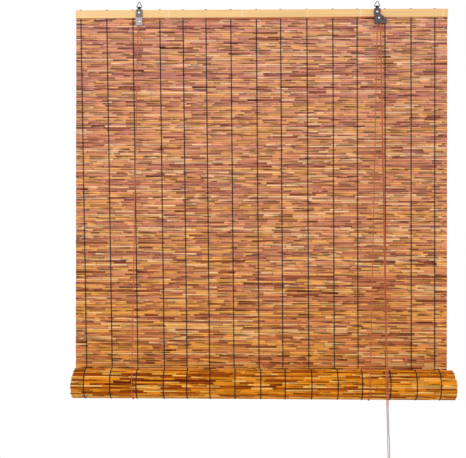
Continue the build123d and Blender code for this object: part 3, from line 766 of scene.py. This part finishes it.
# Cords
def smooth_route(points):
    """Points along the smooth line that has the route's points as its control points."""
    curve = bpy.data.curves.new("route", "CURVE")
    curve.dimensions = "3D"
    curve.resolution_u = route_resolution
    spline = curve.splines.new("NURBS")
    spline.points.add(len(points) - 1)
    for control, point in zip(spline.points, points):
        control.co = (*point, 1)
    spline.order_u = route_order
    spline.use_endpoint_u = True
    holder = bpy.data.objects.new("route", curve)
    line = bpy.data.meshes.new_from_object(holder)
    path = [tuple(vertex.co) for vertex in line.vertices]
    bpy.data.objects.remove(holder)
    bpy.data.curves.remove(curve)
    bpy.data.meshes.remove(line)
    return path


def cord_tones(path):
    """Tones along a cord: terracotta, and pale mauve where the pull cord hangs free below the roll."""
    below_roll = roll_axis.z - sling_radius - np.array(path)[:, 2]
    share = np.clip(below_roll / fade_length, 0, 1)[:, None]
    return cord_tone * (1 - share) + faded_cord_tone * share


def cord_piece(name, points):
    """A cord along a route's points."""
    path = smooth_route(points)
    skin = Skin()
    rope(skin, path, cord_radius, cord_sides, cord_tones(path))
    piece = skin.piece(name, cord, "cord")
    return piece


def straight(start, end):
    """Route of a taut strand: its ends and a point near each."""
    start = Vector(start)
    end = Vector(end)
    lead = (end - start).normalized() * straight_lead
    return [start, start + lead, end - lead, end]


left_wheel_low, left_wheel_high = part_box("left_pulley_wheel")
left_axle = (left_wheel_low + left_wheel_high) / 2
lock_low, lock_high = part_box("lock_wheels")
lock_axle = (lock_low + lock_high) / 2
rear_wheel_y = lock_high.y - wheel_half_width
front_wheel_y = lock_low.y + wheel_half_width
left_strand_z = left_axle.z - strand_drop
lock_strand_z = lock_axle.z - strand_drop
wrap_radius = sling_radius - roll_turn_pitch / 2
wrap_y = roll_axis.y - roll_turn_pitch / 2
contact_y = wrap_y - wrap_radius * cos(contact_angle)
contact_z = roll_axis.z + wrap_radius * sin(contact_angle)
sling_front_y = roll_axis.y - sling_radius
sling_back_y = roll_axis.y + sling_radius
arc_flat_share = cos(pi / (2 * arc_corners))


def above_contact(contact, wheel):
    """The point a little above a cord's contact with the roll, on its way to the wheel."""
    contact = Vector(contact)
    return contact + (Vector(wheel) - contact).normalized() * contact_lead


def shorten(piece):
    """Gives a hung piece its own copy of its mesh."""
    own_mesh(piece)


def ring_middle_x(side):
    """Place across of a hanger, from its ring."""
    low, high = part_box(f"{side}_hanger_ring")
    return (low.x + high.x) / 2


def knot(name, middle, depth_share):
    """A knot: the cord wound tightly round itself along Z, flattened where it lies on a face."""
    path = []
    for step in range(knot_steps + 1):
        turn = 2 * pi * knot_turns * step / knot_steps
        swell = knot_radius * (knot_waist + (1 - knot_waist) * sin(pi * step / knot_steps))
        height = middle[2] + knot_length * (0.5 - step / knot_steps)
        path.append((middle[0] + swell * cos(turn), middle[1] + depth_share * swell * sin(turn), height))
    skin = Skin()
    rope(skin, path, cord_radius, cord_sides, cord_tones(path))
    piece = skin.piece(name, cord, "cord")
    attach(piece, "headrail")
    return piece


def lift_cord(side, sling_x, wheel):
    """One lift cord from the rivet's tail, behind the mat, under the roll and up to its wheel."""
    hanger_x = ring_middle_x(side)
    back_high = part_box(f"{side}_lift_cord_back")[1]
    loop_y = back_high.y - cord_radius
    tail_z = back_high.z - loop_radius - cord_radius
    knot_z = tail_z - loop_drop
    back = [(hanger_x + cord_radius, loop_y, knot_z)]
    for step in range(loop_corners):
        turn = pi * (step + loop_first_corner) / arc_corners
        reach = loop_radius / arc_flat_share
        back.append((hanger_x + reach * cos(turn), loop_y, tail_z + reach * sin(turn)))
    back.append((hanger_x - cord_radius, loop_y, knot_z))
    back += straight((hanger_x, loop_y, knot_z - knot_length), (sling_x, sling_back_y, roll_axis.z))
    knot_middle = (hanger_x, loop_y + cord_radius, knot_z + knot_lift)
    tail_knot = knot(f"{side}_tail_knot", knot_middle, flat_knot_share)
    back_piece = cord_piece(f"{side}_lift_cord_behind", back)
    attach(back_piece, "headrail")
    shorten(back_piece)
    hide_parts(f"{side}_lift_cord_back")

    under = [(sling_x, sling_back_y, roll_axis.z)]
    for step in range(arc_corners):
        angle = -pi * (step + 0.5) / arc_corners
        reach = sling_radius / arc_flat_share
        under.append((sling_x, roll_axis.y + reach * cos(angle), roll_axis.z + reach * sin(angle)))
    under.append((sling_x, sling_front_y, roll_axis.z + sling_lead))
    under.append((sling_x, contact_y, contact_z))
    meet = above_contact(under[-1], wheel)
    under.append(meet)
    sling = cord_piece(f"{side}_lift_cord_under_roll", under)
    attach(sling, "rolled_mat")

    front_piece = cord_piece(f"{side}_lift_cord_in_front", straight(wheel, meet))
    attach(front_piece, "headrail")
    shorten(front_piece)
    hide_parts(f"{side}_lift_cord_front")
    return sling


def head_cord(name, first_axle, wheel_y, start_z):
    """A lift cord over its wheel and over the lock's wheel, ending below the lock."""
    top_z = first_axle.z + line_radius
    lock_top_z = lock_axle.z + line_radius
    left_x = first_axle.x - line_radius
    right_x = lock_axle.x + line_radius
    near = 2 * line_radius
    points = [(left_x, wheel_y, start_z), (left_x, wheel_y, top_z - near), (left_x, wheel_y, top_z)]
    if first_axle != lock_axle:
        points += [(left_x + near, wheel_y, top_z), (right_x - near, wheel_y, lock_top_z)]
    points += [(right_x, wheel_y, lock_top_z), (right_x, wheel_y, lock_top_z - near)]
    points.append((right_x, wheel_y, lock_strand_z))
    piece = cord_piece(name, points)
    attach(piece, "headrail")
    return piece


def hank_turns_of(strand, centre_x, centre_z, front_y):
    """Control points of one strand's turns in the hank: racetracks one behind the other."""
    radius = hank_radii[strand]
    corner = radius / cos(pi / (2 * hank_corners))
    points = []
    for turn in range(hank_turns[strand]):
        for end in (-1, 1):
            for step in range(hank_corners + 1):
                turned = turn + (0 if end < 0 else 0.5) + step / (2 * (hank_corners + 1))
                depth = front_y + turned * hank_pitch
                if step == 0:
                    points.append((centre_x + end * radius, depth, centre_z))
                    continue
                angle = pi * (step - 0.5) / hank_corners + (pi if end < 0 else 0)
                points.append((
                    centre_x + corner * cos(angle),
                    depth,
                    centre_z + end * hank_run / 2 + corner * sin(angle),
                ))
    return points


def pull_cord(number, strand_side, wheel_y, turns):
    """One pull strand from the lock to the roll, and from there down into the hank's turns."""
    contact_x = pull_contact_x + strand_side * pull_contact_spread
    wheel = (lock_axle.x + line_radius, wheel_y, lock_strand_z)
    meet = above_contact((contact_x, contact_y, contact_z), wheel)
    upper = cord_piece(f"pull_cord_{number}_upper", straight(wheel, meet))
    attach(upper, "headrail")
    shorten(upper)
    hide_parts(f"pull_cord_upper_{number}")

    end_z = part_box("pull_cord_hank")[1].z
    meet_x = pull_contact_x + pull_meet_offset + strand_side * pull_meet_spread
    bow_x = pull_contact_x + pull_bow_offset + strand_side * pull_bow_spread
    end_x = pull_contact_x + pull_end_offset + strand_side * pull_end_spread
    route = [
        meet,
        (contact_x, contact_y, contact_z),
        (contact_x, sling_front_y, roll_axis.z),
        (meet_x, sling_front_y, roll_axis.z - pull_meet_depth),
        (bow_x, sling_front_y, roll_axis.z - pull_bow_depth),
        (end_x, sling_front_y, end_z),
    ]
    lower = cord_piece(f"pull_cord_{number}_lower", route + turns)
    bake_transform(lower)
    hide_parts(f"pull_cord_lower_{number}")
    return lower


def make_cords():
    """All the cords, with the pieces that stand for shared CAD nodes."""
    left_wheel = (left_axle.x - line_radius, left_axle.y, left_strand_z)
    lock_wheel = (lock_axle.x - line_radius, front_wheel_y, lock_strand_z)
    slings = [lift_cord("left", left_sling_x, left_wheel), lift_cord("right", right_sling_x, lock_wheel)]
    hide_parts("lift_cord_slings")
    crossing = head_cord("crossing_cord", left_axle, rear_wheel_y, left_strand_z)
    head_cord("right_lift_cord_bend", lock_axle, front_wheel_y, lock_strand_z)
    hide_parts("head_cords")
    hank_low, hank_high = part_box("pull_cord_hank")
    middle = (hank_low + hank_high) / 2
    turns = [hank_turns_of(strand, middle.x, middle.z, hank_low.y + cord_radius) for strand in (0, 1)]
    ends_middle = (Vector(turns[0][-1]) + Vector(turns[1][-1])) / 2
    end_knot = knot("pull_cord_end_knot", ends_middle, round_knot_share)
    first = pull_cord(1, -0.5, rear_wheel_y, turns[0])
    pull_cord(2, 0.5, front_wheel_y, turns[1])
    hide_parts("pull_cord_hank")


make_cords()

# Mat, roll and twine
for mat_piece in hung_mat():
    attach(mat_piece, "headrail")
    shorten(mat_piece)
    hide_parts("reed_mat")
roll_piece = wound_reeds()
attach(roll_piece, "rolled_mat")
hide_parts("reed_roll")
for warp_number in range(1, thread_count + 1):
    warp_piece = warp(warp_number)
    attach(warp_piece, "headrail")
    shorten(warp_piece)
    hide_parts(f"warp_thread_{warp_number:02d}")
roll_twine = wound_twine()
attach(roll_twine, "rolled_mat")
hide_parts("roll_threads")


# Hanger rings, rivets and the hank's tie
def ring_wire(side):
    """A triangle ring of round wire, in the place of its beveled solid."""
    low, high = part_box(f"{side}_hanger_ring")
    radius = (high.y - low.y) / 2
    middle_x = (low.x + high.x) / 2
    bend = wire_bend_radius
    corners = [
        (high.x - radius - bend, low.z + radius + bend, -pi / 2, ring_side_angle),
        (middle_x, high.z - radius - bend, ring_side_angle, pi - ring_side_angle),
        (low.x + radius + bend, low.z + radius + bend, pi - ring_side_angle, 3 * pi / 2),
    ]
    path = []
    for corner_x, corner_z, first, last in corners:
        for step in range(wire_bend_steps + 1):
            turn = first + (last - first) * step / wire_bend_steps
            path.append((corner_x + bend * cos(turn), (low.y + high.y) / 2, corner_z + bend * sin(turn)))
    path.append(path[0])
    skin = Skin()
    rope(skin, path, radius, wire_sides, white)
    piece = skin.piece(f"{side}_ring_wire", wire_metal, "pale_metal")
    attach(piece, f"{side}_ring")
    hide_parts(f"{side}_hanger_ring")


def lathe(skin, axis_x, axis_z, profile):
    """A turned solid about a Y axis from pairs of radius and depth, front to back."""
    turns = np.arange(rivet_sides) * 2 * pi / rivet_sides
    rings = np.empty((len(profile), rivet_sides, 3))
    for place, (radius, depth) in enumerate(profile):
        rings[place, :, 0] = axis_x + radius * np.sin(turns)
        rings[place, :, 1] = depth
        rings[place, :, 2] = axis_z + radius * np.cos(turns)
    skin.tube(rings, white, 0)


def dome(radius, height, base_y):
    """Profile of a domed head that bulges to the front of base_y."""
    turns = [step / dome_steps * pi / 2 for step in range(dome_steps + 1)]
    return [(max(radius * sin(turn), rivet_tip_radius), base_y - height * cos(turn)) for turn in turns]


def rivets(node_name, places, head_radius, head_height, tail_length):
    """Two domed rivets in the place of a node's plain ones."""
    back_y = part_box(node_name)[1].y
    tail_y = back_y - tail_length
    skin = Skin()
    for axis_x, axis_z, seat_y in places:
        profile = dome(head_radius, head_height, seat_y)
        profile += [(head_radius, seat_y), (rivet_shank, seat_y)]
        profile += [(rivet_shank, tail_y), (head_radius, tail_y)]
        profile += [(head_radius, back_y - rivet_tail_edge), (rivet_tip_radius, back_y)]
        lathe(skin, axis_x, axis_z, profile)
    piece = skin.piece(f"{node_name}_domed", bright_metal, "pale_metal")
    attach(piece, "headrail")
    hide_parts(node_name)


def tie_twine():
    """Thin twine wound side by side round the hank."""
    low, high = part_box("hank_tie")
    middle = (low + high) / 2
    radius = tie_twine_radius
    turns = round((high.z - low.z) / (2 * radius))
    steps = turns * tie_turn_steps
    path = []
    for step in range(steps + 1):
        turn = 2 * pi * step / tie_turn_steps
        path.append((
            middle.x + ((high.x - low.x) / 2 - radius) * flattened(cos(turn), tie_squareness),
            middle.y + ((high.y - low.y) / 2 - radius) * flattened(sin(turn), tie_squareness),
            low.z + radius + (high.z - low.z - 2 * radius) * step / steps,
        ))
    skin = Skin()
    rope(skin, path, radius, tie_sides, cord_tone)
    piece = skin.piece("hank_tie_twine", cord, "cord")
    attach(piece, "headrail")
    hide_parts("hank_tie")


for ring_side in ("left", "right"):
    ring_wire(ring_side)
rivet_low, rivet_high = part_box("hanger_rivets")
rivet_z = (rivet_low.z + rivet_high.z) / 2
plate_face_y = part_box("left_hanger_plate")[0].y
hanger_places = [(ring_middle_x(side), rivet_z, plate_face_y) for side in ("left", "right")]
axle_places = [
    (left_axle.x, left_axle.z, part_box("left_pulley_housing")[0].y),
    (lock_axle.x, lock_axle.z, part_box("lock_housing")[0].y),
]
rivets("hanger_rivets", hanger_places, *hanger_rivet_sizes)
rivets("axle_rivets", axle_places, *axle_rivet_sizes)
tie_twine()

# Finishes of the CAD nodes that show as they are
finishes = {
    front_bamboo: ["front_batten"],
    back_bamboo: ["back_batten"],
    pole_bamboo: ["bottom_bar"],
    dark_metal: ["right_hanger_plate", "lock_housing"],
    grey_metal: ["left_hanger_plate"],
    pale_metal: ["left_pulley_housing"],
    wire_metal: ["lock_roller"],
    strap: ["left_hanger_strap", "right_hanger_strap"],
    nylon: ["left_pulley_wheel", "lock_wheels"],
}
for finish, names in finishes.items():
    for name in names:
        nodes[name].data.materials.clear()
        nodes[name].data.materials.append(finish)


# Stage, light and camera
def lay_floor():
    """A matt floor below the blind."""
    material, _, shader = new_material("floor")
    shader.inputs["Base Color"].default_value = (*floor_tone, 1)
    shader.inputs["Roughness"].default_value = 0.9
    corners = [
        (-floor_half_width, floor_front_y, floor_z),
        (floor_half_width, floor_front_y, floor_z),
        (floor_half_width, floor_back_y, floor_z),
        (-floor_half_width, floor_back_y, floor_z),
    ]
    mesh = bpy.data.meshes.new("floor")
    mesh.from_pydata(corners, [], [tuple(range(len(corners)))])
    mesh.materials.append(material)
    plane = bpy.data.objects.new("floor", mesh)
    bpy.context.scene.collection.objects.link(plane)


def area_lamp(name):
    """One of the soft square lamps, facing the blind."""
    lamp = bpy.data.lights.new(name, "AREA")
    lamp.energy = lamp_watts[name]
    lamp.size = lamp_size
    holder = bpy.data.objects.new(name, lamp)
    holder.location = lamp_places[name]
    facing = Vector(lamp_target) - Vector(lamp_places[name])
    holder.rotation_euler = facing.to_track_quat("-Z", "Y").to_euler()
    bpy.context.scene.collection.objects.link(holder)


def white_world():
    """Even light, seen as plain white by the camera, in mirrors and through glass."""
    world = bpy.data.worlds.new("studio")
    world.use_nodes = True
    tree = world.node_tree
    tree.nodes.clear()
    path = node(tree, "ShaderNodeLightPath")
    seen = path.outputs["Is Camera Ray"]
    for ray in ("Is Glossy Ray", "Is Transmission Ray"):
        either = {0: seen, 1: path.outputs[ray]}
        seen = node(tree, "ShaderNodeMath", either, operation="MAXIMUM").outputs["Value"]
    light = node(tree, "ShaderNodeBackground", {"Color": (1, 1, 1, 1), "Strength": world_strength})
    plain = node(tree, "ShaderNodeBackground", {"Color": (1, 1, 1, 1), "Strength": 1})
    mix = node(tree, "ShaderNodeMixShader", {0: seen, 1: light.outputs[0], 2: plain.outputs[0]})
    output = node(tree, "ShaderNodeOutputWorld")
    tree.links.new(mix.outputs[0], output.inputs["Surface"])
    bpy.context.scene.world = world


lay_floor()
white_world()
for lamp_name in lamp_places:
    area_lamp(lamp_name)

camera = bpy.data.cameras.new("camera")
camera.sensor_width = sensor_width
camera.lens = focal_pixels / photo_width * camera.sensor_width
camera_holder = bpy.data.objects.new("camera", camera)
camera_holder.location = camera_place
camera_holder.rotation_euler = (pi / 2, -camera_roll, camera_yaw)
bpy.context.scene.collection.objects.link(camera_holder)
bpy.context.scene.camera = camera_holder
bpy.context.scene.view_settings.view_transform = "Standard"
